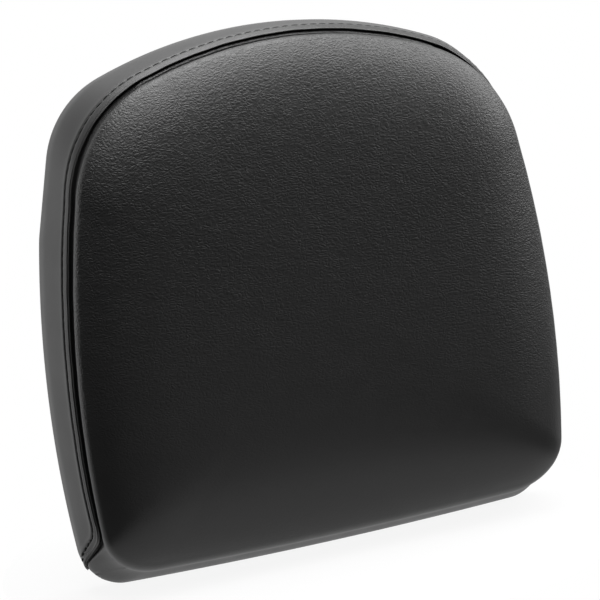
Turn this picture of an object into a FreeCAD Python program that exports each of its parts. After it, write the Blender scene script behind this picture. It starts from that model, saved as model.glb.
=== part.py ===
import FreeCAD, Part
import Sketcher
import math
import os
from FreeCAD import Placement, Rotation, Vector

# Backrest pad of a motorcycle sissy bar: an arched, padded cushion that a rider leans on.
# A plywood board carries a foam cushion. A grained vinyl front panel and a smooth vinyl side
# boxing are sewn together, drawn over the foam and stapled behind the board. A moulded plate
# closes the back, and four tee nuts in the board take the bolts of the bar.
#
# Frame: the origin is the centre of the four bolts on the back plane. +X is the pad's left to
# right seen from the front, -Y is the front that the back leans on, and +Z is up.

doc = FreeCAD.newDocument("BackrestPad")
sheet = doc.addObject("Spreadsheet::Sheet", "Sizes")

# Driving dimensions, in millimetres and degrees.
SIZES = [
    ("back_width", "243", "widest part of the pad, at its back edge"),
    ("back_height", "245.5", "top to bottom of the back edge"),
    ("top_above_bolts", "122.75", "from the bolt centre up to the top of the back edge"),
    ("back_crown_radius", "218", "arch of the back edge"),
    ("back_shoulder_radius", "46", "shoulders of the back edge"),
    ("back_flank_lean", "77", "upper flank, measured from level"),
    ("back_hip_radius", "47", "soft bend halfway down the flank"),
    ("back_hip_lean", "82", "lean of the flank below that bend"),
    ("back_side_radius", "550", "lower flank, curved outwards"),
    ("back_widest_down", "161", "widest place below the top of the back edge"),
    ("back_corner_radius", "20", "bottom corners of the back edge"),
    ("bottom_radius", "2650", "slight outward curve of the bottom edge"),
    ("front_width", "233.6", "widest part of the front panel"),
    ("front_drop", "4.5", "top of the front panel below the top of the back edge"),
    ("front_rise", "12", "bottom of the front panel above the bottom of the back edge"),
    ("front_crown_radius", "194", "arch of the front panel"),
    ("front_shoulder_radius", "63", "shoulders of the front panel"),
    ("front_flank_lean", "80.5", "flank of the front panel"),
    ("front_side_radius", "500", "sides of the front panel, curved outwards"),
    ("front_widest_down", "160.5", "widest place below the top of the front panel"),
    ("front_corner_radius", "26.5", "bottom corners of the front panel"),
    ("boxing_depth", "33.5", "from the back of the cover to the seam"),
    ("bulge_depth", "18.6", "how far the front panel stands in front of the seam"),
    ("bulge_run", "1.7", "from the seam to where the front panel stands widest"),
    ("bulge_radius", "12", "rounding of the front panel's edge"),
    ("crown_inset", "13", "width of the slope between that rounding and the face"),
    ("back_edge_bevel", "2.8", "where the cover turns onto the back"),
    ("seam_valley", "3", "how far the sewn seam pulls into the foam"),
    ("band_width", "4.6", "topstitched band behind the seam"),
    ("band_proud", "0.4", "how far the band stands above the boxing"),
    ("seam_turn_up", "44.5", "height above the bottom where the seam turns to the back"),
    ("seam_turn_radius", "14", "bend of the seam at the bottom corners"),
    ("seam_end_up", "9.5", "height above the bottom where the seam runs out at the back"),
    ("vinyl_thickness", "1.2", "cover sheets"),
    ("cover_clearance", "0.2", "between the cover and what it is drawn over"),
    ("turn_in", "18", "cover turned onto the back of the board"),
    ("board_thickness", "9", "plywood board"),
    ("plate_thickness", "2.5", "back plate"),
    ("plate_margin", "8", "back plate inside the pad's edge"),
    ("plate_edge_bevel", "1.2", "bevel round the back plate"),
    ("plate_seat_clearance", "1", "between the plate's seat and the turned-in cover"),
    ("bolt_spacing_across", "101.6", "bolts, side to side"),
    ("bolt_spacing_up", "63.5", "bolts, bottom to top"),
    ("bolt_bore_diameter", "5.1", "minor diameter of the quarter-inch thread"),
    ("bolt_hole_diameter", "7.2", "clearance hole in the back plate"),
    ("nut_room_depth", "9", "pocket in the foam for a flange and a bolt's tip"),
    ("nut_barrel_diameter", "7.8", "tee nut barrel"),
    ("nut_barrel_length", "8", "tee nut barrel"),
    ("nut_flange_diameter", "19", "tee nut flange"),
    ("nut_flange_thickness", "1.3", "tee nut flange"),
    ("nut_prong_length", "6.5", "tee nut prongs"),
    ("nut_prong_width", "3.2", "tee nut prongs at the flange"),
    ("nut_clearance", "0.1", "round the barrel in the board"),
    ("rivet_count", "4", "push rivets round the plate"),
    ("rivet_inset", "27", "push rivets inside the pad's edge"),
    ("rivet_head_diameter", "13", "push rivet"),
    ("rivet_head_thickness", "1.5", "push rivet"),
    ("rivet_shank_diameter", "5.6", "push rivet"),
    ("rivet_shank_length", "9", "push rivet, below its head"),
    ("rivet_clearance", "0.1", "round a rivet in its hole"),
    ("rivet_recess_depth", "1.7", "head recess in the plate"),
    ("staple_count", "20", "staples round the turned-in cover"),
    ("staple_inset", "13", "staples inside the pad's edge"),
    ("staple_width", "10", "staple crown"),
    ("staple_wire", "0.6", "staple wire thickness"),
    ("staple_wire_width", "1.1", "staple wire width"),
    ("staple_leg", "7", "staple legs"),
]
for row, (alias, value, note) in enumerate(SIZES, start=1):
    sheet.set(f"A{row}", alias)
    sheet.set(f"B{row}", value)
    sheet.set(f"C{row}", note)
    sheet.setAlias(f"B{row}", alias)
doc.recompute()


def size(alias):
    return float(sheet.get(alias))


# Heights and depths that several pieces share.
top = size("top_above_bolts")
bottom = top - size("back_height")
vinyl = size("vinyl_thickness")
clear = size("cover_clearance")
cover_back = size("plate_thickness")
board_back = cover_back + vinyl
board_front = board_back + size("board_thickness")
seam_depth = cover_back + size("boxing_depth")
widest_depth = seam_depth + size("bulge_run")
front_depth = seam_depth + size("bulge_depth")


# Outlines. Both are chains of tangent arcs, and angles are those of the outward normal,
# measured from straight up towards +X, so 90 degrees faces the side.

def direction(angle):
    return Vector(math.sin(math.radians(angle)), 0, math.cos(math.radians(angle)))


def angle_of(vector):
    return math.degrees(math.atan2(vector.x, vector.z))


def back_outline(inset=0.0):
    """Outline of the pad's back edge, drawn in parallel by the inset."""
    return dict(half=size("back_width") / 2 - inset, top=top - inset, bottom=bottom + inset,
                widest=top - size("back_widest_down"), lean=size("back_flank_lean"),
                hip_lean=size("back_hip_lean"), crown=size("back_crown_radius") - inset,
                shoulder=size("back_shoulder_radius") - inset, hip=size("back_hip_radius") - inset,
                side=size("back_side_radius") - inset, corner=size("back_corner_radius") - inset,
                base=size("bottom_radius") - inset)


def front_outline(inset=0.0, valley=0.0):
    """Outline of the front panel where it stands widest, drawn in parallel by the inset.

    A valley pulls in its sides and top, but not its bottom edge, which has no seam.
    """
    head = top - size("front_drop")
    lean = size("front_flank_lean")
    drawn = inset + valley
    # The front's flank has no bend of its own: its hip is a short run of the side's own curve.
    return dict(half=size("front_width") / 2 - drawn, top=head - drawn,
                bottom=bottom + size("front_rise") + inset,
                widest=head - size("front_widest_down"), lean=lean, hip_lean=(lean + 90) / 2,
                crown=size("front_crown_radius") - drawn,
                shoulder=size("front_shoulder_radius") - drawn,
                hip=size("front_side_radius") - drawn, side=size("front_side_radius") - drawn,
                corner=size("front_corner_radius") - inset, base=size("bottom_radius") - inset)


def outline_arcs(o):
    """Right half of an outline from top to bottom: centre, radius, first and last angle."""
    crown_centre = Vector(0, 0, o["top"] - o["crown"])
    base_centre = Vector(0, 0, o["bottom"] + o["base"])
    side_centre = Vector(o["half"] - o["side"], 0, o["widest"])
    hip_centre = side_centre + direction(o["hip_lean"]) * (o["side"] - o["hip"])
    # The shoulder touches the straight flank and the crown arc from inside.
    flank_low = hip_centre + direction(o["lean"]) * o["hip"]
    along = direction(o["lean"] - 90)
    reach = flank_low - direction(o["lean"]) * o["shoulder"] - crown_centre
    half_way = reach.dot(along)
    gap = reach.dot(reach) - (o["crown"] - o["shoulder"]) ** 2
    rise = -half_way + math.sqrt(half_way ** 2 - gap)
    shoulder_centre = crown_centre + reach + along * rise
    crown_end = angle_of(shoulder_centre - crown_centre)
    # The corner touches the side and the bottom arc from inside.
    to_base = base_centre - side_centre
    span = to_base.Length
    near = o["side"] - o["corner"]
    far = o["base"] - o["corner"]
    foot = (near ** 2 - far ** 2 + span ** 2) / (2 * span)
    height = math.sqrt(near ** 2 - foot ** 2)
    across = Vector(to_base.z, 0, -to_base.x) / span
    corner_centre = side_centre + to_base * (foot / span) + across * height
    side_end = angle_of(corner_centre - side_centre)
    corner_end = angle_of(corner_centre - base_centre)
    return dict(crown=(crown_centre, o["crown"], 0.0, crown_end),
                shoulder=(shoulder_centre, o["shoulder"], crown_end, o["lean"]),
                flank=(shoulder_centre + direction(o["lean"]) * o["shoulder"], flank_low),
                hip=(hip_centre, o["hip"], o["lean"], o["hip_lean"]),
                side=(side_centre, o["side"], o["hip_lean"], side_end),
                corner=(corner_centre, o["corner"], side_end, corner_end),
                base=(base_centre, o["base"], corner_end, 180.0))


def arc_edge(centre, radius, first, last):
    middle = (first + last) / 2
    return Part.Arc(centre + direction(first) * radius, centre + direction(middle) * radius,
                    centre + direction(last) * radius).toShape()


def mirrored(edge):
    return edge.mirror(Vector(0, 0, 0), Vector(1, 0, 0))


def upper_edges(arcs, side_last):
    """Edges from the right side, over the crown, to the left side."""
    right = [arc_edge(arcs["side"][0], arcs["side"][1], side_last, arcs["side"][2]),
             arc_edge(arcs["hip"][0], arcs["hip"][1], arcs["hip"][3], arcs["hip"][2]),
             Part.makeLine(arcs["flank"][1], arcs["flank"][0]),
             arc_edge(arcs["shoulder"][0], arcs["shoulder"][1], arcs["shoulder"][3],
                      arcs["shoulder"][2])]
    crown = arc_edge(arcs["crown"][0], arcs["crown"][1], arcs["crown"][3], -arcs["crown"][3])
    return right + [crown] + [mirrored(edge) for edge in reversed(right)]


def outline_wire(o, depth):
    """Closed outline at a depth in front of the back plane."""
    arcs = outline_arcs(o)
    corner = arc_edge(*arcs["corner"])
    base = arc_edge(arcs["base"][0], arcs["base"][1], arcs["base"][2], 360 - arcs["base"][2])
    edges = upper_edges(arcs, arcs["side"][3]) + [mirrored(corner), base, corner]
    wire = Part.Wire(Part.__sortEdges__(edges))
    wire.translate(Vector(0, -depth, 0))
    return wire


def plate_between(o, near, far):
    """Flat-faced prism of an outline between two depths."""
    return Part.Face(outline_wire(o, near)).extrude(Vector(0, near - far, 0))


def edges_at(shape, depth):
    """Edges that lie wholly at one depth."""
    return [edge for edge in shape.Edges
            if abs(edge.BoundBox.YMin + depth) < 1e-4 and abs(edge.BoundBox.YMax + depth) < 1e-4]


# Sections of the drawn form, from the back to the front.

ROUNDING_TURNS = (45.0, 90.0)


def pad_sections(inset, rings):
    """Outline and depth of each section of the pad, all drawn inwards by the inset.

    Each ring near the seam is how far it is pulled in and how far it lies ahead of the seam.
    """
    # Half the inset makes a bevel's wall as thick as the flat walls beside it.
    bevel = size("back_edge_bevel") - inset / 2
    near = cover_back + inset
    sections = [(back_outline(inset + bevel), near), (back_outline(inset), near + bevel),
                (back_outline(inset), board_front)]
    for valley, ahead in rings:
        sections.append((front_outline(inset, valley), seam_depth + ahead))
    radius = size("bulge_radius") - inset
    for turn in ROUNDING_TURNS:
        drawn = radius * (1 - math.cos(math.radians(turn)))
        depth = widest_depth + radius * math.sin(math.radians(turn))
        sections.append((front_outline(inset + drawn), depth))
    sections.append((front_outline(size("bulge_radius") + size("crown_inset")),
                     front_depth - inset))
    return sections


def lofted(sections):
    return Part.makeLoft([outline_wire(o, depth) for o, depth in sections], True, True)


# Seam. It follows the front outline over the top, and low on each side it bends
# backwards and runs out of the back edge.

def seam_run():
    """Right end of the seam: its start, its bend, and where the bend leaves off and heads."""
    centre, radius = outline_arcs(front_outline())["side"][:2]
    angle = math.degrees(math.acos((bottom + size("seam_turn_up") - centre.z) / radius))
    start = centre + direction(angle) * radius + Vector(0, -seam_depth, 0)
    down = direction(angle + 90)
    corner_centre, corner_radius = outline_arcs(back_outline())["corner"][:2]
    end_angle = math.degrees(math.acos((bottom + size("seam_end_up") - corner_centre.z)
                                       / corner_radius))
    end = corner_centre + direction(end_angle) * corner_radius
    bend = size("seam_turn_radius")
    reach = end - start
    back = (reach - down * reach.dot(down)).normalize()
    ahead = reach.dot(down)
    aside = reach.dot(back) - bend
    turn = math.atan2(ahead, -aside) - math.acos(bend / math.hypot(ahead, aside))
    pivot = start + back * bend
    middle = pivot + (down * math.sin(turn / 2) - back * math.cos(turn / 2)) * bend
    leave = pivot + (down * math.sin(turn) - back * math.cos(turn)) * bend
    heading = down * math.cos(turn) + back * math.sin(turn)
    return start, middle, leave, heading


def behind_seam():
    """The space behind the seam, as wide as the pad and more."""
    start, middle, leave, heading = seam_run()
    wide = size("back_width")
    flat = [Vector(-wide, point.y, point.z) for point in (start, middle, leave)]
    far = flat[2] + Vector(0, heading.y, heading.z) * wide
    high = Vector(-wide, -seam_depth, top + wide)
    corner = Vector(-wide, far.y, top + wide)
    edges = [Part.makeLine(high, flat[0]), Part.Arc(*flat).toShape(), Part.makeLine(flat[2], far),
             Part.makeLine(far, corner), Part.makeLine(corner, high)]
    rear = Part.Face(Part.Wire(edges)).extrude(Vector(2 * wide, 0, 0))
    return rear.cut(bottom_flap(leave, heading))


def bottom_flap(leave, heading):
    """Room of the front panel's own turned-in edge along the bottom, mitred where the seam ends."""
    height = leave.z + heading.z * (-board_back - leave.y) / heading.y
    centre, radius = outline_arcs(back_outline())["corner"][:2]
    mitre = direction(math.degrees(math.acos((height - centre.z) / radius)))
    outer = centre + mitre * 2 * radius
    low = Vector(outer.x, 0, bottom - radius)
    half = [centre, outer, low]
    corners = half + [Vector(-point.x, 0, point.z) for point in reversed(half)]
    flap = Part.Face(Part.makePolygon(corners + corners[:1]))
    return flap.extrude(Vector(0, -board_back, 0))


def feature(name, shape):
    part = doc.addObject("Part::Feature", name)
    part.Shape = shape
    return part


# Staples: flat wire, driven through the turned-in cover into the board.

def staple_shape():
    width = size("staple_width")
    wire = size("staple_wire")
    band = size("staple_wire_width")
    crown = Part.makeBox(width, wire, band, Vector(-width / 2, -wire, -band / 2))
    leg = Part.makeBox(wire, size("staple_leg"), band, Vector(-width / 2, -size("staple_leg"), -band / 2))
    other = leg.copy()
    other.translate(Vector(width - wire, 0, 0))
    return crown.fuse([leg, other]).removeSplitter()


def stations(inset, count):
    """Even, mirrored places inside the back outline, with the turn of the edge at each."""
    arcs = outline_arcs(back_outline())
    half = [arc_edge(*arcs["crown"]), arc_edge(*arcs["shoulder"]), Part.makeLine(*arcs["flank"]),
            arc_edge(*arcs["hip"]), arc_edge(*arcs["side"]), arc_edge(*arcs["corner"]),
            arc_edge(*arcs["base"])]
    steps = 2 * count
    places = Part.Wire(half).discretize(Number=steps + 1)
    found = []
    for middle in range(2, steps, 4):
        ahead = places[middle + 1] - places[middle - 1]
        turn = math.degrees(math.atan2(ahead.z, ahead.x))
        inward = Vector(ahead.z, 0, -ahead.x).normalize()
        place = places[middle] + inward * inset
        found += [(place, turn), (Vector(-place.x, 0, place.z), -turn)]
    return found


staple_list = []
for place, turn in stations(size("staple_inset"), round(size("staple_count"))):
    staple = staple_shape()
    staple.Placement = Placement(place + Vector(0, -cover_back, 0), Rotation(Vector(0, -1, 0), turn))
    staple_list.append(staple)
staples = feature("staples", Part.Compound(staple_list))


# Cover: two vinyl sheets of one thickness, drawn over the foam and turned in at the back.
# Both dip into the valley of the seam. The boxing swells over the seam allowance, which makes
# its topstitched band, so only the outside has that ring.

behind_band = (0.0, -size("band_width"))
swell = (-size("band_proud"), -size("band_width") / 2)
valley = (size("seam_valley"), 0.0)
widest = (0.0, size("bulge_run"))
outer_form = lofted(pad_sections(0.0, [behind_band, swell, valley, widest]))
inner_form = lofted(pad_sections(vinyl, [behind_band, valley, widest]))
window = plate_between(back_outline(size("turn_in")), -1, board_back + 1)
cover = outer_form.cut(inner_form).cut(window).cut(staples.Shape)
rear_space = behind_seam()
feature("front_cover", cover.cut(rear_space))
feature("side_boxing", cover.common(rear_space))


# Rigid pieces. Each is drawn on the back plane and padded towards the front.

def back_plane_sketch(body, name, depth):
    """Empty sketch on the body's upright plane, at a depth in front of the back plane."""
    sketch = body.newObject("Sketcher::SketchObject", name)
    plane = next(item for item in body.Origin.OriginFeatures if item.Role == "XZ_Plane")
    sketch.AttachmentSupport = (plane, [""])
    sketch.MapMode = "FlatFace"
    sketch.AttachmentOffset = Placement(Vector(0, 0, depth), Rotation())
    return sketch


def flat(point):
    return Vector(point.x, point.z, 0)


def sketch_arc(centre, radius, first, last):
    circle = Part.Circle(flat(centre), Vector(0, 0, 1), radius)
    return Part.ArcOfCircle(circle, math.radians(90 - last), math.radians(90 - first))


def bound(sketch, kind, *where, value, to):
    """Add a constraint and bind its value to the sheet."""
    index = sketch.addConstraint(Sketcher.Constraint(kind, *where, value))
    sketch.setExpression(f"Constraints[{index}]", to)


def draw_outline(sketch, o, inset):
    """The back outline as a sketch: tangent arcs whose radii are the sheet's, less the inset."""
    arcs = outline_arcs(o)
    crown, base = arcs["crown"], arcs["base"]
    sketch.addGeometry(sketch_arc(crown[0], crown[1], -crown[3], crown[3]))
    sketch.addGeometry(sketch_arc(base[0], base[1], base[2], 360 - base[2]))
    for side in (1, -1):
        for name in ("shoulder", "hip", "side", "corner"):
            centre, radius, first, last = arcs[name]
            centre = Vector(side * centre.x, 0, centre.z)
            ends = (first, last) if side == 1 else (-last, -first)
            sketch.addGeometry(sketch_arc(centre, radius, *ends))
        upper, lower = [Vector(side * point.x, point.z, 0) for point in arcs["flank"]]
        sketch.addGeometry(Part.LineSegment(upper, lower))
    CROWN, BASE, CENTRE, ORIGIN, UPRIGHT = 0, 1, 3, -1, -2
    for side, start in ((1, 2), (-1, 7)):
        shoulder, hip, flank_side, corner, flank = range(start, start + 5)
        # An arc's first end is its clockwise one, so the right half is joined end to start.
        first, last = (1, 2) if side == 1 else (2, 1)
        chain = [(CROWN, first, shoulder, last), (shoulder, first, flank, 1), (flank, 2, hip, last),
                 (hip, first, flank_side, last), (flank_side, first, corner, last),
                 (corner, first, BASE, last)]
        for link in chain:
            sketch.addConstraint(Sketcher.Constraint("Tangent", *link))
        across = f"{side} * (Sizes.back_width / 2 - Sizes.back_side_radius"
        bound(sketch, "DistanceX", ORIGIN, 1, flank_side, CENTRE, to=across + ")",
              value=side * arcs["side"][0].x)
        bound(sketch, "DistanceY", ORIGIN, 1, flank_side, CENTRE, value=arcs["side"][0].z,
              to="Sizes.top_above_bolts - Sizes.back_widest_down")
        bound(sketch, "DistanceX", ORIGIN, 1, hip, CENTRE, value=side * arcs["hip"][0].x,
              to=across + " + (Sizes.back_side_radius - Sizes.back_hip_radius)"
              " * sin(Sizes.back_hip_lean * 1 deg))")
        bound(sketch, "Angle", flank, value=math.radians(-90 + side * (90 - o["lean"])),
              to=f"(-90 + {side} * (90 - Sizes.back_flank_lean)) * 1 deg")
        for arc, alias in ((shoulder, "back_shoulder_radius"), (hip, "back_hip_radius"),
                           (flank_side, "back_side_radius"), (corner, "back_corner_radius")):
            bound(sketch, "Radius", arc, value=size(alias) + o["top"] - top,
                  to=f"Sizes.{alias} - ({inset})")
    for arc, alias in ((CROWN, "back_crown_radius"), (BASE, "bottom_radius")):
        bound(sketch, "Radius", arc, value=size(alias) + o["top"] - top, to=f"Sizes.{alias} - ({inset})")
        sketch.addConstraint(Sketcher.Constraint("PointOnObject", arc, CENTRE, UPRIGHT))
    bound(sketch, "DistanceY", ORIGIN, 1, CROWN, CENTRE, value=crown[0].z,
          to="Sizes.top_above_bolts - Sizes.back_crown_radius")
    bound(sketch, "DistanceY", ORIGIN, 1, BASE, CENTRE, value=base[0].z,
          to="Sizes.top_above_bolts - Sizes.back_height + Sizes.bottom_radius")


def pad_of(body, name, sketch, length, towards_front=True):
    pad = body.newObject("PartDesign::Pad", name)
    pad.Profile = sketch
    pad.setExpression("Length", length)
    pad.Reversed = not towards_front
    sketch.Visibility = False
    return pad


def pocket_of(body, name, sketch, depth):
    """Pocket that runs from its sketch towards the front."""
    pocket = body.newObject("PartDesign::Pocket", name)
    pocket.Profile = sketch
    pocket.setExpression("Length", depth)
    pocket.Reversed = True
    return pocket


def bolt_circles(sketch, diameter):
    for across, up in BOLT_SIGNS:
        place = Vector(across * size("bolt_spacing_across") / 2, up * size("bolt_spacing_up") / 2, 0)
        circle = sketch.addGeometry(Part.Circle(place, Vector(0, 0, 1), size(diameter) / 2))
        bound(sketch, "DistanceX", -1, 1, circle, 3, value=place.x,
              to=f"{across} * Sizes.bolt_spacing_across / 2")
        bound(sketch, "DistanceY", -1, 1, circle, 3, value=place.y,
              to=f"{up} * Sizes.bolt_spacing_up / 2")
        yield circle


def rivet_circles(sketch, radius, expression):
    for place, turn in rivet_places:
        circle = sketch.addGeometry(Part.Circle(flat(place), Vector(0, 0, 1), radius))
        sketch.addConstraint(Sketcher.Constraint("DistanceX", -1, 1, circle, 3, place.x))
        sketch.addConstraint(Sketcher.Constraint("DistanceY", -1, 1, circle, 3, place.z))
        bound(sketch, "Radius", circle, value=radius, to=expression)


def bevel_edges(body, name, base, edges, width):
    names = [f"Edge{index}" for index, edge in enumerate(base.Shape.Edges, start=1)
             if any(edge.isSame(wanted) for wanted in edges)]
    bevel = body.newObject("PartDesign::Chamfer", name)
    bevel.Base = (base, names)
    bevel.setExpression("Size", width)
    return bevel


BOLT_SIGNS = [(-1, 1), (1, 1), (-1, -1), (1, -1)]
rivet_places = stations(size("rivet_inset"), round(size("rivet_count")))


# Tee nuts: a threaded barrel with a round flange whose four prongs bite into the board.

def tee_nut(index, across, up):
    body = doc.addObject("PartDesign::Body", f"tee_nut_{index}")
    plane = next(item for item in body.Origin.OriginFeatures if item.Role == "XY_Plane")
    upright = next(item for item in body.Origin.OriginFeatures if item.Role == "XZ_Plane")

    def disc(name, alias):
        sketch = body.newObject("Sketcher::SketchObject", name)
        sketch.AttachmentSupport = (plane, [""])
        sketch.MapMode = "FlatFace"
        circle = sketch.addGeometry(Part.Circle(Vector(0, 0, 0), Vector(0, 0, 1), size(alias) / 2))
        sketch.addConstraint(Sketcher.Constraint("Coincident", circle, 3, -1, 1))
        bound(sketch, "Radius", circle, value=size(alias) / 2, to=f"Sizes.{alias} / 2")
        return sketch

    pad_of(body, f"flange_{index}", disc(f"flange_ring_{index}", "nut_flange_diameter"),
           "Sizes.nut_flange_thickness")
    pad_of(body, f"barrel_{index}", disc(f"barrel_ring_{index}", "nut_barrel_diameter"),
           "Sizes.nut_barrel_length", towards_front=False)
    # One prong is bent down from the rim, and the other three follow round the axis.
    prong = body.newObject("Sketcher::SketchObject", f"prong_outline_{index}")
    prong.AttachmentSupport = (upright, [""])
    prong.MapMode = "FlatFace"
    thick = size("nut_flange_thickness")
    rim = size("nut_flange_diameter") / 2 - thick / 2
    prong.AttachmentOffset = Placement(Vector(0, 0, rim - thick), Rotation())
    half = size("nut_prong_width") / 2
    corners = [Vector(-half, 0, 0), Vector(half, 0, 0), Vector(0, -size("nut_prong_length"), 0)]
    for this, that in zip(corners, corners[1:] + corners[:1]):
        prong.addGeometry(Part.LineSegment(this, that))
    for this, that in ((0, 1), (1, 2), (2, 0)):
        prong.addConstraint(Sketcher.Constraint("Coincident", this, 2, that, 1))
    prong.addConstraint(Sketcher.Constraint("Horizontal", 0))
    bound(prong, "DistanceX", -1, 1, 0, 2, value=half, to="Sizes.nut_prong_width / 2")
    bound(prong, "DistanceX", 0, 1, 0, 2, value=2 * half, to="Sizes.nut_prong_width")
    bound(prong, "DistanceY", -1, 1, 1, 2, value=-size("nut_prong_length"),
          to="-Sizes.nut_prong_length")
    prong.addConstraint(Sketcher.Constraint("PointOnObject", 0, 1, -1))
    prong.addConstraint(Sketcher.Constraint("PointOnObject", 1, 2, -2))
    one = pad_of(body, f"prong_{index}", prong, "Sizes.nut_flange_thickness")
    axis = next(item for item in body.Origin.OriginFeatures if item.Role == "Z_Axis")
    ring = body.newObject("PartDesign::PolarPattern", f"prongs_{index}")
    ring.Originals = [one]
    ring.Axis = (axis, [""])
    ring.Angle = 360
    ring.Occurrences = 4
    body.Tip = ring
    bore_ring = disc(f"bore_ring_{index}", "bolt_bore_diameter")
    bore_ring.AttachmentOffset = Placement(Vector(0, 0, -size("nut_barrel_length")), Rotation())
    bore = pocket_of(body, f"bore_{index}", bore_ring,
                     "Sizes.nut_barrel_length + Sizes.nut_flange_thickness")
    body.Tip = bore
    body.Placement = Placement(Vector(0, -board_front, 0), Rotation(Vector(1, 0, 0), 90))
    body.setExpression("Placement.Base.x", f"{across} * Sizes.bolt_spacing_across / 2")
    body.setExpression("Placement.Base.z", f"{up} * Sizes.bolt_spacing_up / 2")
    return body


nuts = [tee_nut(index, across, up) for index, (across, up) in enumerate(BOLT_SIGNS, start=1)]
doc.recompute()


# Push rivets: a low head and a shank, moulded in one.

def rivet(index, place):
    """One rivet, drawn along Z with its head on top, then laid along Y with the head behind."""
    def primitive(kind, name, base, **expressions):
        item = doc.addObject(kind, f"{name}_{index}")
        for key, text in expressions.items():
            item.setExpression(key, text)
        item.Placement.Base = Vector(0, 0, base)
        return item

    cap = primitive("Part::Cone", "rivet_cap", 0, Radius1="Sizes.rivet_head_diameter / 2",
                    Radius2="Sizes.rivet_head_diameter / 2 - Sizes.rivet_head_thickness",
                    Height="Sizes.rivet_head_thickness")
    shank = primitive("Part::Cylinder", "rivet_shank", -size("rivet_shank_length"),
                      Radius="Sizes.rivet_shank_diameter / 2", Height="Sizes.rivet_shank_length")
    whole = doc.addObject("Part::MultiFuse", f"push_rivet_{index}")
    whole.Shapes = [cap, shank]
    whole.Placement = Placement(place + Vector(0, -size("rivet_recess_depth"), 0),
                                Rotation(Vector(1, 0, 0), -90))
    return whole


rivets = [rivet(index, place) for index, (place, turn) in enumerate(rivet_places, start=1)]
doc.recompute()

# Base board: plywood, its back edge bevelled for the cover, bored for the tee nuts and rivets.

board = doc.addObject("PartDesign::Body", "board_blank")
board_inset = "Sizes.vinyl_thickness + Sizes.cover_clearance"
board_outline = back_plane_sketch(board, "board_outline", board_back)
draw_outline(board_outline, back_outline(vinyl + clear), board_inset)
board_sheet = pad_of(board, "board_sheet", board_outline, "Sizes.board_thickness")
doc.recompute()
bevel_edges(board, "board_bevel", board_sheet, edges_at(board_sheet.Shape, board_back),
            "Sizes.back_edge_bevel - Sizes.vinyl_thickness / 2 + Sizes.cover_clearance")
nut_rings = back_plane_sketch(board, "nut_rings", board_back)
for circle in bolt_circles(nut_rings, "nut_barrel_diameter"):
    bound(nut_rings, "Radius", circle, value=size("nut_barrel_diameter") / 2 + size("nut_clearance"),
          to="Sizes.nut_barrel_diameter / 2 + Sizes.nut_clearance")
pocket_of(board, "nut_bores", nut_rings, "Sizes.board_thickness")
rivet_rings = back_plane_sketch(board, "rivet_rings", board_back)
rivet_circles(rivet_rings, size("rivet_shank_diameter") / 2 + size("rivet_clearance"),
              "Sizes.rivet_shank_diameter / 2 + Sizes.rivet_clearance")
board.Tip = pocket_of(board, "rivet_bores", rivet_rings, "Sizes.board_thickness")
doc.recompute()
bitten = doc.addObject("Part::MultiFuse", "bitten_into_board")
bitten.Shapes = nuts + [staples]
doc.recompute()
bored_board = doc.addObject("Part::Cut", "base_board")
bored_board.Base = board
bored_board.Tool = bitten

# Back plate: moulded, with a raised seat that fills the opening in the turned-in cover.

plate = doc.addObject("PartDesign::Body", "back_plate")
plate_outline = back_plane_sketch(plate, "plate_outline", 0)
draw_outline(plate_outline, back_outline(size("plate_margin")), "Sizes.plate_margin")
plate_sheet = pad_of(plate, "plate_sheet", plate_outline, "Sizes.plate_thickness")
doc.recompute()
bevel_edges(plate, "plate_bevel", plate_sheet, edges_at(plate_sheet.Shape, 0),
            "Sizes.plate_edge_bevel")
seat_inset = "Sizes.turn_in + Sizes.plate_seat_clearance"
seat_outline = back_plane_sketch(plate, "seat_outline", cover_back)
draw_outline(seat_outline, back_outline(size("turn_in") + size("plate_seat_clearance")), seat_inset)
pad_of(plate, "plate_seat", seat_outline, "Sizes.vinyl_thickness")
doc.recompute()
hole_rings = back_plane_sketch(plate, "bolt_hole_rings", 0)
for circle in bolt_circles(hole_rings, "bolt_hole_diameter"):
    bound(hole_rings, "Radius", circle, value=size("bolt_hole_diameter") / 2,
          to="Sizes.bolt_hole_diameter / 2")
pocket_of(plate, "bolt_holes", hole_rings, "Sizes.plate_thickness + Sizes.vinyl_thickness")
recess_rings = back_plane_sketch(plate, "recess_rings", 0)
rivet_circles(recess_rings, size("rivet_head_diameter") / 2 + size("rivet_clearance"),
              "Sizes.rivet_head_diameter / 2 + Sizes.rivet_clearance")
pocket_of(plate, "rivet_recesses", recess_rings, "Sizes.rivet_recess_depth")
shank_rings = back_plane_sketch(plate, "shank_rings", 0)
rivet_circles(shank_rings, size("rivet_shank_diameter") / 2 + size("rivet_clearance"),
              "Sizes.rivet_shank_diameter / 2 + Sizes.rivet_clearance")
plate.Tip = pocket_of(plate, "shank_holes", shank_rings,
                      "Sizes.plate_thickness + Sizes.vinyl_thickness")
doc.recompute()

# Foam: one moulded cushion, glued to the front of the board, with room for the flanges and
# for the bolts' tips.

foam_sections = pad_sections(vinyl + clear, [behind_band, valley, widest])
foam = lofted([(o, depth) for o, depth in foam_sections if depth >= board_front])
for across, up in BOLT_SIGNS:
    place = Vector(across * size("bolt_spacing_across") / 2, -board_front,
                   up * size("bolt_spacing_up") / 2)
    room = Part.makeCylinder(size("nut_flange_diameter") / 2 + clear, size("nut_room_depth"), place,
                             Vector(0, -1, 0))
    foam = foam.cut(room)
feature("foam_cushion", foam)
doc.recompute()

# Every object has to have built, and every piece has to be sound, before anything is written.

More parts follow.
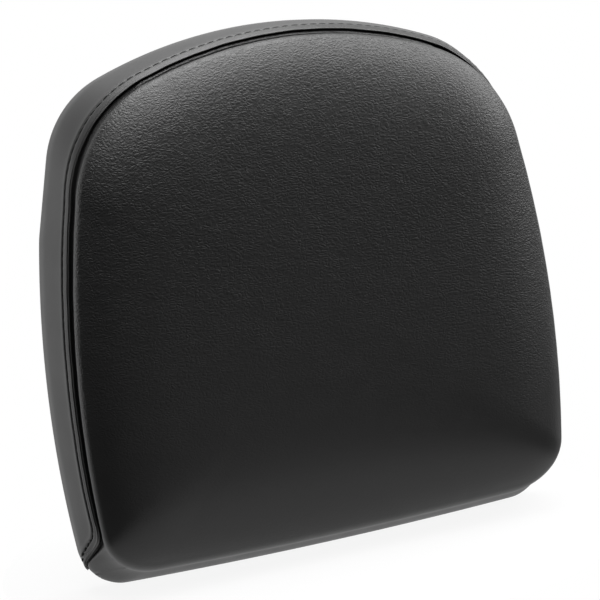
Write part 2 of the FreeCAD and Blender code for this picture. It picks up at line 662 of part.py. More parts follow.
NODES = (["front_cover", "side_boxing", "foam_cushion", "base_board", "back_plate", "staples"]
         + [nut.Name for nut in nuts] + [item.Name for item in rivets])
for item in doc.Objects:
    if "Invalid" in item.State or "Error" in item.State:
        raise RuntimeError(f"{item.Name} did not build: {item.State}")
pieces = {name: doc.getObject(name) for name in NODES}
for name, piece in pieces.items():
    if piece.Shape.isNull() or not piece.Shape.isValid():
        raise RuntimeError(f"{name} has no sound shape")
os.makedirs("parts", exist_ok=True)
for name, piece in pieces.items():
    piece.Label = name
    piece.Shape.exportStep(f"parts/{name}.step")
    print(f"{name}: {len(piece.Shape.Solids)} solid, {piece.Shape.Volume / 1000:.2f} cm3")
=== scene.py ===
import math

import bmesh
import bpy
import numpy as np
from mathutils import Matrix, Vector


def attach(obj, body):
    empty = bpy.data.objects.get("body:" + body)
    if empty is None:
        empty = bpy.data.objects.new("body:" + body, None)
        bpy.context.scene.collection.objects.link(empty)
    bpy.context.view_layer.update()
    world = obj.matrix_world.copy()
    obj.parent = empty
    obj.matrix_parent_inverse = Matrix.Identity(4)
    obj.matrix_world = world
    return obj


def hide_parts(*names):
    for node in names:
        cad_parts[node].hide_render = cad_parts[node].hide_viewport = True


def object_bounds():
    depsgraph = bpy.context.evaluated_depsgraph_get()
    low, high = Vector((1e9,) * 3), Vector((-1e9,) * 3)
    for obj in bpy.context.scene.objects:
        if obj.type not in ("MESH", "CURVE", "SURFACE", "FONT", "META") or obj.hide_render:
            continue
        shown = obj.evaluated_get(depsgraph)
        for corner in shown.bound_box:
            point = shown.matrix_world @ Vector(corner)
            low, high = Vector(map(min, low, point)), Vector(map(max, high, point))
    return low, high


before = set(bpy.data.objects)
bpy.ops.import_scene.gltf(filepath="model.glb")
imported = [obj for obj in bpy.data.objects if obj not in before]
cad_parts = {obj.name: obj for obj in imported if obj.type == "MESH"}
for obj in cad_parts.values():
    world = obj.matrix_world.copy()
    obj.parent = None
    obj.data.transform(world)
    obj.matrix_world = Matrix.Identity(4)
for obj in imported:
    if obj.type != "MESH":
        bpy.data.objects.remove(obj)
cad_low, cad_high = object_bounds()


# Camera, where the photograph's was: to the left of the pad's front and a little above it, and
# tilted, so that the pad seems to lean to the left.

MM = 0.001
CAMERA_PLACE = Vector((-337.1, -916.8, 152.8)) * MM
CAMERA_AIM = Vector((-7.40, -36.0, -2.02)) * MM
CAMERA_TILT = math.radians(-6.62)
SENSOR_WIDTH = 36.0
LENS = 126.35

scene = bpy.context.scene
ahead = (CAMERA_AIM - CAMERA_PLACE).normalized()
level_right = ahead.cross(Vector((0, 0, 1))).normalized()
level_up = level_right.cross(ahead)
right = level_right * math.cos(CAMERA_TILT) + level_up * math.sin(CAMERA_TILT)
up = level_up * math.cos(CAMERA_TILT) - level_right * math.sin(CAMERA_TILT)
camera_data = bpy.data.cameras.new("photo_camera")
camera_data.sensor_width = SENSOR_WIDTH
camera_data.lens = LENS
camera_data.clip_end = 100
camera = bpy.data.objects.new("photo_camera", camera_data)
turned = Matrix((right, up, -ahead)).transposed().to_4x4()
camera.matrix_world = Matrix.Translation(CAMERA_PLACE) @ turned
scene.collection.objects.link(camera)
scene.camera = camera
scene.view_settings.view_transform = "Standard"


# Floor and light: a small pale floor in a white room, under soft boxes. The camera sees the whole
# room white. Mirrored and bent rays see only its half behind the pad white, and the rest dark.

class Strand:
    """One socket of a finish under way. A sum on Strands adds the Math nodes that work it out."""

    def __init__(self, finish, socket):
        self.finish, self.socket = finish, socket

    def sum(self, operation, *values):
        return self.finish.node("ShaderNodeMath", dict(operation=operation), *values)

    def __add__(self, other):
        return self.sum("ADD", self, other)

    def __sub__(self, other):
        return self.sum("SUBTRACT", self, other)

    def __rsub__(self, other):
        return self.sum("SUBTRACT", other, self)

    def __mul__(self, other):
        return self.sum("MULTIPLY", self, other)

    __radd__ = __add__
    __rmul__ = __mul__

    def between(self, low, high):
        """0 up to low and 1 from high on, with a soft step between."""
        return self.finish.node("ShaderNodeMapRange", dict(interpolation_type="SMOOTHSTEP"), self,
                                low, high)


class Finish:
    """The nodes of one material, or of the world."""

    def __init__(self, holder, **sockets):
        holder.use_nodes = True
        self.holder, self.tree = holder, holder.node_tree
        self.shader = next(node for node in self.tree.nodes if "Output" not in node.name)
        for name, value in sockets.items():
            self.shader.inputs[name.replace("_", " ")].default_value = value
        self.place = self.node("ShaderNodeTexCoord", {}, output="Object")

    def node(self, kind, settings, *values, output=0, **named):
        """A node's output, from its type, its settings and the values or links of its sockets."""
        made = self.tree.nodes.new(kind)
        for name, value in settings.items():
            setattr(made, name, value)
        chosen = list(zip(made.inputs, values))
        chosen += [(made.inputs[name.replace("_", " ")], value) for name, value in named.items()]
        for socket, value in chosen:
            if isinstance(value, Strand):
                self.tree.links.new(value.socket, socket)
            elif value is not None:
                socket.default_value = value
        return Strand(self, made.outputs[output])

    def noise(self, size, detail=2.0, place=None):
        """Soft noise with lumps of about one size, in metres."""
        return self.node("ShaderNodeTexNoise", {}, Vector=place or self.place, Scale=1 / size,
                         Detail=detail)

    def blend(self, share, low, high):
        """From one colour to another."""
        return self.node("ShaderNodeMix", dict(data_type="RGBA"), share, None, None, None, None,
                         None, low, high, output=2)

    def stretched(self, *scales):
        """The place on the piece, with each direction scaled."""
        return self.node("ShaderNodeMapping", {}, self.place, Scale=scales)

    def feed(self, **sockets):
        for name, strand in sockets.items():
            self.tree.links.new(strand.socket, self.shader.inputs[name.replace("_", " ")])

    def raised(self, height, depth):
        """Bump of a height from 0 to 1, times a depth in metres."""
        self.feed(Normal=self.node("ShaderNodeBump", {}, Height=height, Distance=depth))


def grey(value):
    return (value, value, value, 1.0)


FLOOR_RADIUS = 0.15
FLOOR_GAP = 0.2 * MM
FLOOR_WHITE = 0.9
FLOOR_COLOUR = 0.4

floor_mesh = bmesh.new()
bmesh.ops.create_circle(floor_mesh, cap_ends=True, segments=96, radius=FLOOR_RADIUS,
                        matrix=Matrix.Translation((0, 0, cad_low.z - FLOOR_GAP)))
floor_data = bpy.data.meshes.new("studio_floor")
floor_mesh.to_mesh(floor_data)
floor_mesh.free()
floor = bpy.data.objects.new("studio_floor", floor_data)
scene.collection.objects.link(floor)


def background_rays(finish):
    """1 for the camera's own rays, and 1 for mirrored and bent ones."""
    seen = [finish.node("ShaderNodeLightPath", {}, output=kind)
            for kind in ("Is Camera Ray", "Is Glossy Ray", "Is Transmission Ray")]
    return seen[0], seen[1] + seen[2]


ground = Finish(bpy.data.materials.new("studio_floor"), Base_Color=grey(FLOOR_COLOUR),
                Roughness=0.9)
camera_ray, mirror_ray = background_rays(ground)
glow = ground.node("ShaderNodeEmission", {})
painted = Strand(ground, ground.shader.outputs[0])
shown = ground.node("ShaderNodeMixShader", {}, (camera_ray + mirror_ray) * FLOOR_WHITE, painted,
                    glow)
ground.tree.links.new(shown.socket, ground.tree.nodes["Material Output"].inputs[0])
floor_data.materials.append(ground.holder)

ROOM_LEVEL = 0.05
DARK_UP_TO, WHITE_FROM = -0.2, 0.5

room = bpy.data.worlds.new("studio_room")
scene.world = room
air = Finish(room, Color=(1, 1, 1, 1))
camera_ray, mirror_ray = background_rays(air)
axes = air.node("ShaderNodeTexCoord", {}, output="Generated")
backwards = air.node("ShaderNodeSeparateXYZ", {}, axes, output="Y")
mirrored = backwards.between(DARK_UP_TO, WHITE_FROM)
air.feed(Strength=camera_ray + mirror_ray * mirrored
         + (1 - camera_ray - mirror_ray) * ROOM_LEVEL)

BOX_DISTANCE = 1.5
BOX_SIZE = 1.0
# Where each soft box stands, in degrees round the pad from straight in front (to the right where
# positive) and in degrees up, and its power in watts.
SOFT_BOXES = dict(top_box=(0, 85, 25), front_box=(-10, 58, 17), rear_box=(180, 75, 12),
                  key_box=(50, 60, 15), right_box=(80, 30, 22), low_box=(55, 12, 5),
                  high_right_box=(80, 60, 9), left_box=(-110, 5, 6))

for name, (side, height, power) in SOFT_BOXES.items():
    lamp = bpy.data.lights.new(name, "AREA")
    lamp.shape = "RECTANGLE"
    lamp.size, lamp.size_y = BOX_SIZE, BOX_SIZE
    lamp.energy = power
    box = bpy.data.objects.new(name, lamp)
    round_pad = Matrix.Rotation(math.radians(side), 4, "Z")
    tilt = Matrix.Rotation(math.radians(90 - height), 4, "X")
    box.matrix_world = round_pad @ tilt @ Matrix.Translation((0, 0, BOX_DISTANCE))
    scene.collection.objects.link(box)


# Plywood board in the back of the pad. The foam is glued on its front, and the cover is stapled
# on its back. Its edges show the plies.

def cad_finish(holder, *nodes):
    for name in nodes:
        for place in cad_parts[name].material_slots:
            place.material = holder


ply = Finish(bpy.data.materials.new("plywood"), Roughness=0.6)
streaks = ply.noise(1.0, 4.0, ply.stretched(900, 900, 60))
veins = ply.noise(1.0, 2.0, ply.stretched(160, 160, 14))
plies = ply.node("ShaderNodeTexWave", dict(bands_direction="Y"), Scale=1 / (6.0 * MM),
                 Distortion=0.3)
wood = streaks * 0.45 + veins * 0.4 + plies * 0.15
ply.feed(Base_Color=ply.blend(wood, (0.62, 0.43, 0.24, 1), (0.36, 0.21, 0.1, 1)),
         Roughness=0.5 + streaks * 0.25)
ply.raised(streaks, 0.08 * MM)
cad_finish(ply.holder, "base_board")


# Tee nuts, pressed into the board from the front, and the staples that hold the cover: bright
# zinc-plated steel with fine drawn lines.

zinc = Finish(bpy.data.materials.new("zinc_plated_steel"), Metallic=1.0)
drawn = zinc.noise(1.0, 3.0, zinc.stretched(1500, 9000, 1500))
dull = zinc.noise(3 * MM, 3.0)
zinc.feed(Base_Color=zinc.blend(dull, (0.5, 0.52, 0.55, 1), (0.66, 0.66, 0.64, 1)),
          Roughness=0.26 + dull * 0.2 + drawn * 0.08)
zinc.raised(drawn, 0.01 * MM)
cad_finish(zinc.holder, "tee_nut_1", "tee_nut_2", "tee_nut_3", "tee_nut_4", "staples")


# Moulded foam cushion on the board. It gives the pad its arched outline and its crowned front,
# and the seam of the cover lies in a notch in it.

BACK = dict(half=121.5, top=122.75, bottom=-122.75, widest=-38.25, lean=77.0, hip_lean=82.0,
            crown=218.0, shoulder=46.0, hip=47.0, side=550.0, corner=20.0, base=2650.0)
FRONT = dict(half=116.6, top=116.4, bottom=-114.4, widest=-42.25, lean=79.5, hip_lean=84.75,
             crown=194.0, shoulder=61.0, hip=500.0, side=500.0, corner=26.5, base=2650.0)
COLUMN_COUNTS = (110, 60, 36)
ARC_POINTS = 400


def facing(angle):
    return np.array([math.sin(math.radians(angle)), math.cos(math.radians(angle))])


def half_outline(outline):
    """Dense points down an outline's right half: to its widest place, to the base, and along it."""
    crown_centre = np.array([0, outline["top"] - outline["crown"]])
    base_centre = np.array([0, outline["bottom"] + outline["base"]])
    side_centre = np.array([outline["half"] - outline["side"], outline["widest"]])
    hip_centre = side_centre + facing(outline["hip_lean"]) * (outline["side"] - outline["hip"])
    flank_low = hip_centre + facing(outline["lean"]) * outline["hip"]
    along = facing(outline["lean"] - 90)
    reach = flank_low - facing(outline["lean"]) * outline["shoulder"] - crown_centre
    half_way = reach @ along
    rise = -half_way + math.sqrt(half_way ** 2 - reach @ reach
                                 + (outline["crown"] - outline["shoulder"]) ** 2)
    shoulder_centre = crown_centre + reach + along * rise
    crown_end = math.degrees(math.atan2(*(shoulder_centre - crown_centre)))
    to_base = base_centre - side_centre
    span = math.hypot(*to_base)
    near, far = outline["side"] - outline["corner"], outline["base"] - outline["corner"]
    foot = (near ** 2 - far ** 2 + span ** 2) / (2 * span)
    across = np.array([to_base[1], -to_base[0]]) / span
    corner_centre = (side_centre + to_base * foot / span
                     + across * math.sqrt(near ** 2 - foot ** 2))
    side_end = math.degrees(math.atan2(*(corner_centre - side_centre)))
    corner_end = math.degrees(math.atan2(*(corner_centre - base_centre)))

    def arc(centre, radius, first, last):
        return [centre + facing(angle) * radius
                for angle in np.linspace(first, last, ARC_POINTS)]

    upper = arc(crown_centre, outline["crown"], 0, crown_end)
    upper += arc(shoulder_centre, outline["shoulder"], crown_end, outline["lean"])
    upper += arc(hip_centre, outline["hip"], outline["lean"], outline["hip_lean"])
    upper += arc(side_centre, outline["side"], outline["hip_lean"], 90)
    lower = arc(side_centre, outline["side"], 90, side_end)
    lower += arc(corner_centre, outline["corner"], side_end, corner_end)
    base = arc(base_centre, outline["base"], corner_end, 180)
    return [np.array(part) for part in (upper, lower, base)]


def columns_of(outline):
    """Points all the way round an outline, and the outward direction at each."""
    parts = []
    for part, count in zip(half_outline(outline), COLUMN_COUNTS):
        run = np.r_[0, np.cumsum(np.hypot(*np.diff(part, axis=0).T))]
        steps = np.linspace(0, run[-1], count + 1)[:-1]
        parts.append(np.c_[np.interp(steps, run, part[:, 0]), np.interp(steps, run, part[:, 1])])
    half = np.vstack(parts + [np.array([[0, outline["bottom"]]])])
    whole = np.vstack([half, (half * [-1, 1])[-2:0:-1]])
    onwards = np.roll(whole, -1, axis=0) - np.roll(whole, 1, axis=0)
    outward = np.c_[-onwards[:, 1], onwards[:, 0]]
    return whole, outward / np.hypot(*outward.T)[:, None]


back_edge, back_outward = columns_of(BACK)
front_edge, front_outward = columns_of(FRONT)
COLUMNS = len(back_edge)
columns = np.arange(COLUMNS)
from_top = np.minimum(columns, COLUMNS - columns)
upwards = np.clip(front_outward[:, 1], 0, 1)


def smooth(share):
    share = np.clip(share, 0, 1)
    return share * share * (3 - 2 * share)


# A run is measured on the surface, from the cover's turned-in edge at the back, over the side
# and the front's rounding, to the middle of the front. The boxing stands proud of the seam.
TURN_IN = 18.0
COVER_BACK = 2.5
BACK_ROUNDING = 3.5
TAPER_FROM = 12.9
SEAM_DEPTH = 36.0
SEAM_SIDE, SEAM_TOP = -1.0, 0.6
BAND_DROP_SIDE, BAND_DROP_TOP = 1.9, 3.2
WIDEST_SIDE, WIDEST_TOP, WIDEST_BOTTOM = 41.0, 37.5, 30.0
FRONT_DEPTH = 54.6
ROUNDING, ROUNDING_BOTTOM = 5.0, 14.0
FRONT_TURN = math.radians(55.0)
CROWN_MIDDLE = np.array([0.0, 8.0])
# Both count columns from the top: where the boxing no longer stands proud, and how long before
# that it starts to sink.
SEWN_ABOVE, SEWN_FADE = 152, 24.0
SWELL_LEAST = 0.5
TAPER_EASE = 0.35
band_drop = BAND_DROP_SIDE + (BAND_DROP_TOP - BAND_DROP_SIDE) * upwards
seam_out = SEAM_SIDE + (SEAM_TOP - SEAM_SIDE) * upwards
seamed = smooth((SEWN_ABOVE - from_top) / SEWN_FADE)
boxing_edge = front_edge + front_outward * ((seam_out + band_drop) * seamed)[:, None]
downwards = np.clip(-front_outward[:, 1], 0, 1)
widest_depth = (WIDEST_SIDE + (WIDEST_TOP - WIDEST_SIDE) * upwards ** 2
                + (WIDEST_BOTTOM - WIDEST_SIDE) * downwards ** 2)
taper_end = np.minimum(SEAM_DEPTH, widest_depth - SWELL_LEAST)
rounding = ROUNDING + (ROUNDING_BOTTOM - ROUNDING) * downwards ** 2
flange_run = TURN_IN - BACK_ROUNDING
side_start = flange_run + BACK_ROUNDING * math.pi / 2
side_depth = COVER_BACK + BACK_ROUNDING
side_end = side_start + widest_depth - side_depth
face_start = side_end + rounding * FRONT_TURN
crown_rise = FRONT_DEPTH - widest_depth - rounding * math.sin(FRONT_TURN)
crown_ease = crown_rise * math.tan(FRONT_TURN)
rim = front_edge - front_outward * (rounding * (1 - math.cos(FRONT_TURN)))[:, None]
to_middle = CROWN_MIDDLE - rim
reach = np.hypot(*to_middle.T)


def bare_point(column, run):
    """Places on the pad before it is sewn, for arrays of columns and runs."""
    turn = np.clip((run - flange_run) / (side_start - flange_run), 0, 1) * math.pi / 2
    inset = np.where(run < flange_run, TURN_IN - run, BACK_ROUNDING * (1 - np.sin(turn)))
    depth = (COVER_BACK + BACK_ROUNDING * (1 - np.cos(turn))
             + np.clip(run, side_start, side_end[column]) - side_start)
    end = taper_end[column]
    taper = np.clip((depth - TAPER_FROM) / (end - TAPER_FROM), 0, 1)
    taper = (TAPER_EASE * smooth(taper) + (1 - TAPER_EASE) * taper)[..., None]
    swell = smooth((depth - end) / (widest_depth[column] - end))[..., None]
    radius = rounding[column]
    bend = (np.clip(run, side_end[column], face_start[column]) - side_end[column]) / radius
    tuck = (radius * (1 - np.cos(bend)))[..., None]
    flat = (back_edge[column] - back_outward[column] * inset[..., None]) * (1 - taper)
    flat = (flat + boxing_edge[column] * taper) * (1 - swell)
    flat = flat + (front_edge[column] - front_outward[column] * tuck) * swell
    inwards = np.clip(run - face_start[column], 0, None)
    flat = flat + to_middle[column] * (inwards / reach[column])[..., None]
    ease = crown_ease[column]
    rise = crown_rise[column] * (1 - np.exp(-inwards / ease)) / (1 - np.exp(-reach[column] / ease))
    depth = depth + radius * np.sin(bend) + rise
    return np.stack([flat[..., 0], -depth, flat[..., 1]], axis=-1)


NORMAL_STEP = 0.2


def bare_normal(column, run):
    forward = bare_point(column, run + NORMAL_STEP) - bare_point(column, run - NORMAL_STEP)
    round_step = bare_point((column + 1) % COLUMNS, run) - bare_point(column - 1, run)
    normal = np.cross(forward, round_step)
    return normal / np.maximum(np.linalg.norm(normal, axis=-1), 1e-9)[..., None]


# The seam keeps one depth over the top and down the sides. Low on each side it bends backwards
# and runs over the back edge.
SEAM_TURN_UP = 38.0
SEAM_TURN_RADIUS = 14.0
SEAM_TURN = math.radians(55.0)
SEAM_DROP = 5.0
SEAM_HALVINGS = 30
AT_BACK_EDGE = 0.05
STEEPEST = 1.6
TIP_FADE = 5.0


def seam_depth_at(height):
    below = BACK["bottom"] + SEAM_TURN_UP - height
    bend = SEAM_TURN_RADIUS * math.sin(SEAM_TURN)
    straight = (SEAM_DEPTH - SEAM_TURN_RADIUS * (1 - math.cos(SEAM_TURN))
                - (below - bend) * math.tan(SEAM_TURN))
    round_turn = (SEAM_DEPTH - SEAM_TURN_RADIUS
                  + np.sqrt(SEAM_TURN_RADIUS ** 2 - np.clip(below, 0, bend) ** 2))
    return np.where(below < bend, round_turn, straight)


low_run = np.full(COLUMNS, side_start)
high_run = low_run + SEAM_DEPTH - side_depth
for _ in range(SEAM_HALVINGS):
    middle_run = (low_run + high_run) / 2
    place = bare_point(columns, middle_run)
    behind = -place[:, 1] < seam_depth_at(place[:, 2])
    low_run = np.where(behind, middle_run, low_run)
    high_run = np.where(behind, high_run, middle_run)
side_tip = int(np.argmax(low_run < side_start + AT_BACK_EDGE))
seam_run = np.where(from_top < side_tip, low_run, side_start - (from_top - side_tip) * SEAM_DROP)
seam_run = np.clip(seam_run, 0, None)
tip = side_tip + math.ceil(side_start / SEAM_DROP)
column_step = np.hypot(*(np.roll(front_edge, -1, axis=0) - np.roll(front_edge, 1, axis=0)).T)
seam_slope = (np.roll(seam_run, -1) - np.roll(seam_run, 1)) / column_step
slant = np.minimum(np.sqrt(1 + seam_slope ** 2), STEEPEST)
sewn = 1 - smooth((from_top - tip + TIP_FADE) / TIP_FADE)
along_seam = np.r_[0, np.cumsum(np.hypot(*np.diff(front_edge, axis=0).T))]

# Over the edge of the board the cover has nothing soft under it, and the seam stays shallow.
SHALLOW = 0.3
SOFT_FROM, SOFT_TO = 13.5, 22.0
# The puckers are an uneven wave along the seam, which a slower wave makes stronger and weaker,
# and they die out away from it.
PUCKER_DEPTH, PUCKER_REACH = 0.1, 6.0
PUCKER_WAVE, UNEVEN_WAVE, SLOW_WAVE = 2.9, 17, 11.3
UNEVEN_SHARE, SLOW_START = 0.8, 1.3


def sewn_point(column, run, out):
    """Places at a distance out from the bare surface, which counts less where nothing is sewn."""
    place, normal = bare_point(column, run), bare_normal(column, run)
    soft = smooth((-place[..., 1] - SOFT_FROM) / (SOFT_TO - SOFT_FROM))
    length = along_seam[column]
    away = np.abs(run - seam_run[column])
    pucker = (np.sin(length / PUCKER_WAVE + UNEVEN_SHARE * np.sin(length / UNEVEN_WAVE))
              * np.sin(length / SLOW_WAVE + SLOW_START)
              * PUCKER_DEPTH * np.exp(-away / PUCKER_REACH))
    out = (out + pucker) * sewn[column] * (SHALLOW + (1 - SHALLOW) * soft)
    return place + normal * out[..., None], normal


MERGE_WITHIN = 0.002 * MM


def laid_out(name, points):
    """A piece from a grid of points. Points that fall together, as at a pole, are merged."""
    rows, across = points.shape[:2]
    sheet = bmesh.new()
    bmesh.ops.create_grid(sheet, x_segments=across - 1, y_segments=rows - 1, size=1)
    for vert, place in zip(sheet.verts, points.reshape(-1, 3)):
        vert.co = Vector(place) * MM
    bmesh.ops.remove_doubles(sheet, verts=sheet.verts, dist=MERGE_WITHIN)
    bmesh.ops.dissolve_degenerate(sheet, edges=sheet.edges, dist=MERGE_WITHIN)
    bmesh.ops.recalc_face_normals(sheet, faces=sheet.faces)
    middle = sum((vert.co for vert in sheet.verts), Vector()) / len(sheet.verts)
    outwards = sum(face.calc_area() * face.normal.dot(face.calc_center_median() - middle)
                   for face in sheet.faces)
    if outwards < 0:
        bmesh.ops.reverse_faces(sheet, faces=sheet.faces)
    for face in sheet.faces:
        face.smooth = True
    data = bpy.data.meshes.new(name)
    sheet.to_mesh(data)
    sheet.free()
    piece = bpy.data.objects.new(name, data)
    scene.collection.objects.link(piece)
    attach(piece, "root")
    return piece


FOAM_BACK = 12.7
FOAM_INSIDE = 1.6
FOAM_ROWS = 30
NOTCH_BEHIND, NOTCH_WALL, NOTCH_AHEAD = 5.5, 2.2, 5.0
NOTCH_EXTRA = 0.9
# Over the tee nuts the foam's back is hollow: the share of its outline, and how deep.
HOLLOW_RINGS = ((0, 1.8), (0.72, 1.8), (0.78, 0.0))
CROWN_STEPS = np.array([0.012, 0.03, 0.055, 0.085, 0.12, 0.16, 0.21, 0.27, 0.34, 0.42, 0.51, 0.61,
                        0.72, 0.84, 0.94, 1.0])
every = columns[::2]
foam_low = side_start + FOAM_BACK - side_depth
foam_rows = np.linspace(0, 1, FOAM_ROWS)[:, None]
foam_runs = foam_low + (face_start[every] - foam_low) * foam_rows
foam_runs = np.vstack([foam_runs, face_start[every] + reach[every] * CROWN_STEPS[:, None]])
foam_columns = np.broadcast_to(every, foam_runs.shape)
ahead_of_seam = (foam_runs - seam_run[every]) / slant[every]
notch = smooth((ahead_of_seam + NOTCH_BEHIND) / NOTCH_WALL)
notch = notch * (1 - smooth(ahead_of_seam / NOTCH_AHEAD))
foam_points, foam_normals = sewn_point(foam_columns, foam_runs,
                                       -(band_drop[every] + NOTCH_EXTRA) * notch)
foam_points -= foam_normals * FOAM_INSIDE
foam_points[0, :, 1] = -FOAM_BACK
back_ring = foam_points[0]
over_nuts = [back_ring * (share, 1, share) - (0, hollow, 0)
             for share, hollow in HOLLOW_RINGS]
foam_points = np.concatenate([np.array(over_nuts), foam_points])
foam_points[-1] = foam_points[-1].mean(axis=0)
foam_piece = laid_out("foam_block", np.concatenate([foam_points, foam_points[:, :1]], axis=1))
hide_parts("foam_cushion")

foam = Finish(bpy.data.materials.new("moulded_foam"), Roughness=0.95)
cells = foam.node("ShaderNodeTexVoronoi", {}, Vector=foam.place, Scale=1 / (0.8 * MM))
foam.feed(Base_Color=foam.blend(foam.noise(25 * MM, 3.0), (0.72, 0.66, 0.5, 1),
                                (0.8, 0.75, 0.62, 1)))
foam.raised(cells, 0.3 * MM)
foam_piece.data.materials.append(foam.holder)


# Front panel: grained black vinyl, drawn over the crowned foam, round the bottom edge and onto
# the back of the board. It is sewn to the boxing and has no seam along the bottom.

# Behind the fold at the seam, the panel's edge goes back under the band: how far ahead of the
# seam each row lies, and how far above the panel's own edge.
SEAM_UNDER = 0.7
UNDER_ROWS = ((-2.6, 1.05), (-2.45, 0.4), (-1.6, 0.1), (-0.6, 0.02), (0.0, 0.0), (0.3, 0.0))
PANEL_ROWS = 40
PANEL_SHARES = (0, 0.05, 0.2, 0.62, 1)

panel_runs, panel_out = [], []
for ahead_by, above in UNDER_ROWS:
    panel_runs.append(seam_run + ahead_by * slant * sewn)
    panel_out.append(above - band_drop - SEAM_UNDER)
breaks = np.stack([0 * side_end, flange_run + 0 * side_end, side_start + 0 * side_end, side_end,
                   face_start])
first = np.array([np.interp(run, breaks[:, column], PANEL_SHARES)
                  for column, run in enumerate(panel_runs[-1])])
for row in range(1, PANEL_ROWS + 1):
    share = first + (1 - first) * row / PANEL_ROWS
    run = np.array([np.interp(part, PANEL_SHARES, breaks[:, column])
                    for column, part in enumerate(share)])
    ahead_share = (run - seam_run) / slant / np.maximum(widest_depth - SEAM_DEPTH + 1, 2)
    panel_runs.append(run)
    panel_out.append(-(band_drop + SEAM_UNDER) * (1 - smooth(ahead_share)))
for step in CROWN_STEPS:
    panel_runs.append(face_start + reach * step)
    panel_out.append(0 * reach)
panel_runs = np.clip(panel_runs, 0, None)
panel_columns = np.broadcast_to(columns, panel_runs.shape)
panel_points, _ = sewn_point(panel_columns, panel_runs, np.array(panel_out))
panel_points[-1] = panel_points[-1].mean(axis=0)
front_panel = laid_out("front_panel", np.concatenate([panel_points, panel_points[:, :1]], axis=1))
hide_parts("front_cover")

SHEET_THICKNESS = 1.1 * MM


def given_thickness(piece):
    wall = piece.modifiers.new("sheet", "SOLIDIFY")
    wall.thickness = SHEET_THICKNESS
    wall.offset = -1


given_thickness(front_panel)

# Fine creases, longer across the pad than up it, that die out lower down.
CREASE_DEPTH = 0.13 * MM
CREASE_SIZE = 1.3 * MM
grain = Finish(bpy.data.materials.new("grained_vinyl"), Base_Color=grey(0.011),
               Specular_IOR_Level=0.33)
bent = grain.node("ShaderNodeTexNoise", {}, Vector=grain.place, Scale=1 / (5 * MM), Detail=2.0,
                  output="Color")
wander = grain.node("ShaderNodeVectorMath", dict(operation="SCALE"), bent, Scale=3.0 * MM)
warped = grain.node("ShaderNodeVectorMath", dict(operation="ADD"), grain.stretched(0.6, 1, 1),
                    wander)
pebbles = grain.node("ShaderNodeTexVoronoi", dict(feature="DISTANCE_TO_EDGE"), Vector=warped,
                     Scale=1 / CREASE_SIZE)
creases = pebbles.between(0.0, 0.3) * 0.6 + grain.noise(1.1 * MM, 3.0, warped) * 0.8
height = grain.node("ShaderNodeSeparateXYZ", {}, grain.place, output="Z")
patches = grain.noise(28 * MM, 2.0) * 0.06 + height
marked = patches.between(-0.07, 0.05) * 0.75 + 0.25
grain.raised(creases * marked, CREASE_DEPTH)
grain.feed(Roughness=0.38 + grain.noise(9 * MM, 3.0) * 0.1)
front_panel.data.materials.append(grain.holder)


# Side boxing: a strip of smooth black vinyl over the top and both sides. Its front edge is
# folded under and topstitched, and its ends taper out under the front panel at the lower corners.

BACK_STEPS = np.r_[np.linspace(0, flange_run, 4)[:-1], np.linspace(flange_run, side_start, 6)]
# The stitched dip, the band, and its fold under at the seam: how far ahead of the seam each row
# lies, how far out it stands, and how much of the band's drop it has.
BAND_ROWS = ((-9.0, 0, 0), (-7.4, 0.05, 0), (-6.6, 0.18, 0), (-6.0, 0.25, 0), (-5.5, 0.1, 0),
             (-5.2, -0.4, 0), (-4.9, -0.6, 0), (-4.6, -0.4, 0), (-4.2, 0.0, 0.02),
             (-3.8, 0.2, 0.05), (-3.3, 0.3, 0.1), (-2.7, 0.33, 0.17), (-2.1, 0.33, 0.25),
             (-1.5, 0.3, 0.33), (-1.0, 0.3, 0.4), (-0.6, 0.3, 0.47), (-0.3, 0.3, 0.54),
             (-0.2, 0.3, 0.6), (-0.35, 0.3, 0.67), (-0.9, 0.3, 0.74), (-1.7, 0.3, 0.83),
             (-2.6, 0.35, 1))
DIP_ROW = 6
PLAIN_ROWS = 9
FULL_WIDTH_RUN = 29.0
ROOM_USED = 0.9

squeeze = np.minimum(1, seam_run / FULL_WIDTH_RUN)
boxing_runs = [step * squeeze for step in BACK_STEPS]
boxing_out = [0 * squeeze for _ in BACK_STEPS]
plain_start = boxing_runs[-1]
room_behind = (seam_run - plain_start) * ROOM_USED / -BAND_ROWS[0][0]
band_scale = np.minimum(slant, room_behind)
plain_end = seam_run + BAND_ROWS[0][0] * band_scale
for row in range(1, PLAIN_ROWS):
    boxing_runs.append(plain_start + (plain_end - plain_start) * row / PLAIN_ROWS)
    boxing_out.append(0 * squeeze)
first_band_row = len(boxing_runs)
for ahead_by, proud, fallen in BAND_ROWS:
    boxing_runs.append(seam_run + ahead_by * band_scale)
    boxing_out.append(proud - fallen * band_drop)
boxing_runs = np.clip(boxing_runs, 0, None)
boxing_columns = np.broadcast_to(columns, boxing_runs.shape)
boxing_points, boxing_normals = sewn_point(boxing_columns, boxing_runs, np.array(boxing_out))
strip = np.arange(-tip, tip + 1)
side_skin = laid_out("side_boxing_skin", boxing_points[:, strip])
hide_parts("side_boxing")
given_thickness(side_skin)

skin = Finish(bpy.data.materials.new("smooth_vinyl"), Base_Color=grey(0.013),
              Specular_IOR_Level=0.33)
fine = skin.node("ShaderNodeTexVoronoi", dict(feature="SMOOTH_F1"), Vector=skin.place,
                 Scale=1 / (0.9 * MM), Smoothness=0.8)
skin.raised(fine * 0.6 + skin.noise(0.4 * MM) * 0.4, 0.03 * MM)
skin.feed(Roughness=0.4 + skin.noise(12 * MM, 3.0) * 0.1)
side_skin.data.materials.append(skin.holder)


# Topstitching: black bonded thread, in a row of single stitches along the dip behind the band.
# Each stitch is a slim rounded length of thread that rests on the dip's floor at its middle.

STITCH_PITCH = 4.5
STITCH_LENGTH = 3.5
STITCH_RADIUS = 0.45
STITCH_LIFT = 0.45
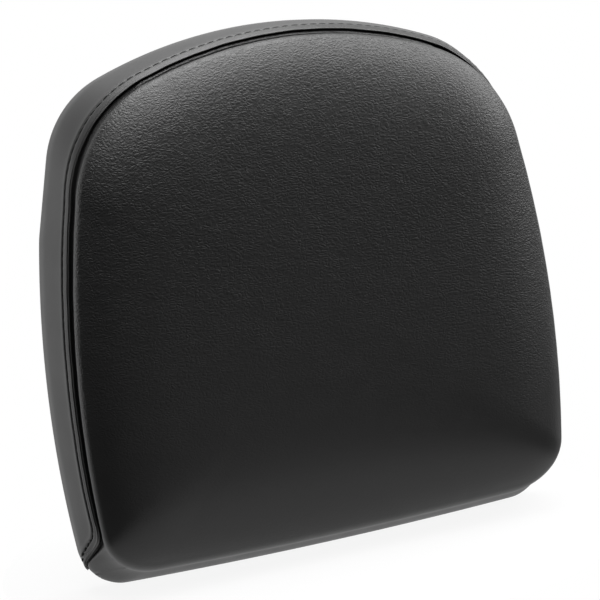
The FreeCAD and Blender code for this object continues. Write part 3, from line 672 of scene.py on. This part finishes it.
# Columns with no stitches before each tip of the seam.
TIP_CLEAR = 3

dip_row = first_band_row + DIP_ROW
stitched = np.arange(-side_tip + TIP_CLEAR, side_tip - TIP_CLEAR + 1)
line, line_out = boxing_points[dip_row, stitched], boxing_normals[dip_row, stitched]
line = line + line_out * STITCH_LIFT
line_run = np.r_[0, np.cumsum(np.linalg.norm(np.diff(line, axis=0), axis=1))]
sewing = bmesh.new()
for run in np.arange(STITCH_PITCH, line_run[-1], STITCH_PITCH):
    near = [run - STITCH_LENGTH / 2, run, run + STITCH_LENGTH / 2]
    start, middle, end = np.array([np.interp(near, line_run, line[:, axis]) for axis in range(3)]).T
    outward = Vector([np.interp(run, line_run, line_out[:, axis]) for axis in range(3)])
    outward.normalize()
    forward = Vector(end - start).normalized()
    across = forward.cross(outward).normalized()
    outward = across.cross(forward)
    turn = Matrix((across, outward, forward)).transposed().to_4x4()
    place = Matrix.Translation(Vector(middle) * MM)
    size = Matrix.Diagonal((STITCH_RADIUS * MM, STITCH_RADIUS * MM, STITCH_LENGTH / 2 * MM, 1))
    bmesh.ops.create_uvsphere(sewing, u_segments=8, v_segments=6, radius=1,
                              matrix=place @ turn @ size)
for face in sewing.faces:
    face.smooth = True
thread_data = bpy.data.meshes.new("topstitching")
sewing.to_mesh(thread_data)
sewing.free()
topstitching = bpy.data.objects.new("topstitching", thread_data)
scene.collection.objects.link(topstitching)
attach(topstitching, "root")

thread = Finish(bpy.data.materials.new("black_thread"), Base_Color=grey(0.006), Roughness=0.7,
                Specular_IOR_Level=0.2)
ply_twist = thread.noise(0.3 * MM)
thread.feed(Base_Color=thread.blend(ply_twist, grey(0.003), grey(0.012)))
thread.raised(ply_twist, 0.1 * MM)
thread_data.materials.append(thread.holder)


# Back plate and the rivets that hold it: black plastic with a fine moulded grain, a little
# rubbed and duller in places.

plastic = Finish(bpy.data.materials.new("moulded_plastic"), Base_Color=grey(0.018), Roughness=0.55)
spark = plastic.node("ShaderNodeTexVoronoi", {}, Vector=plastic.place, Scale=1 / (0.7 * MM))
rubbed = plastic.noise(14 * MM, 4.0)
plastic.feed(Base_Color=plastic.blend(rubbed, grey(0.014), grey(0.026)),
             Roughness=0.5 + rubbed * 0.16)
plastic.raised(spark * 0.7 + plastic.noise(0.4 * MM) * 0.3, 0.06 * MM)
cad_finish(plastic.holder, "back_plate", "push_rivet_1", "push_rivet_2", "push_rivet_3",
           "push_rivet_4")
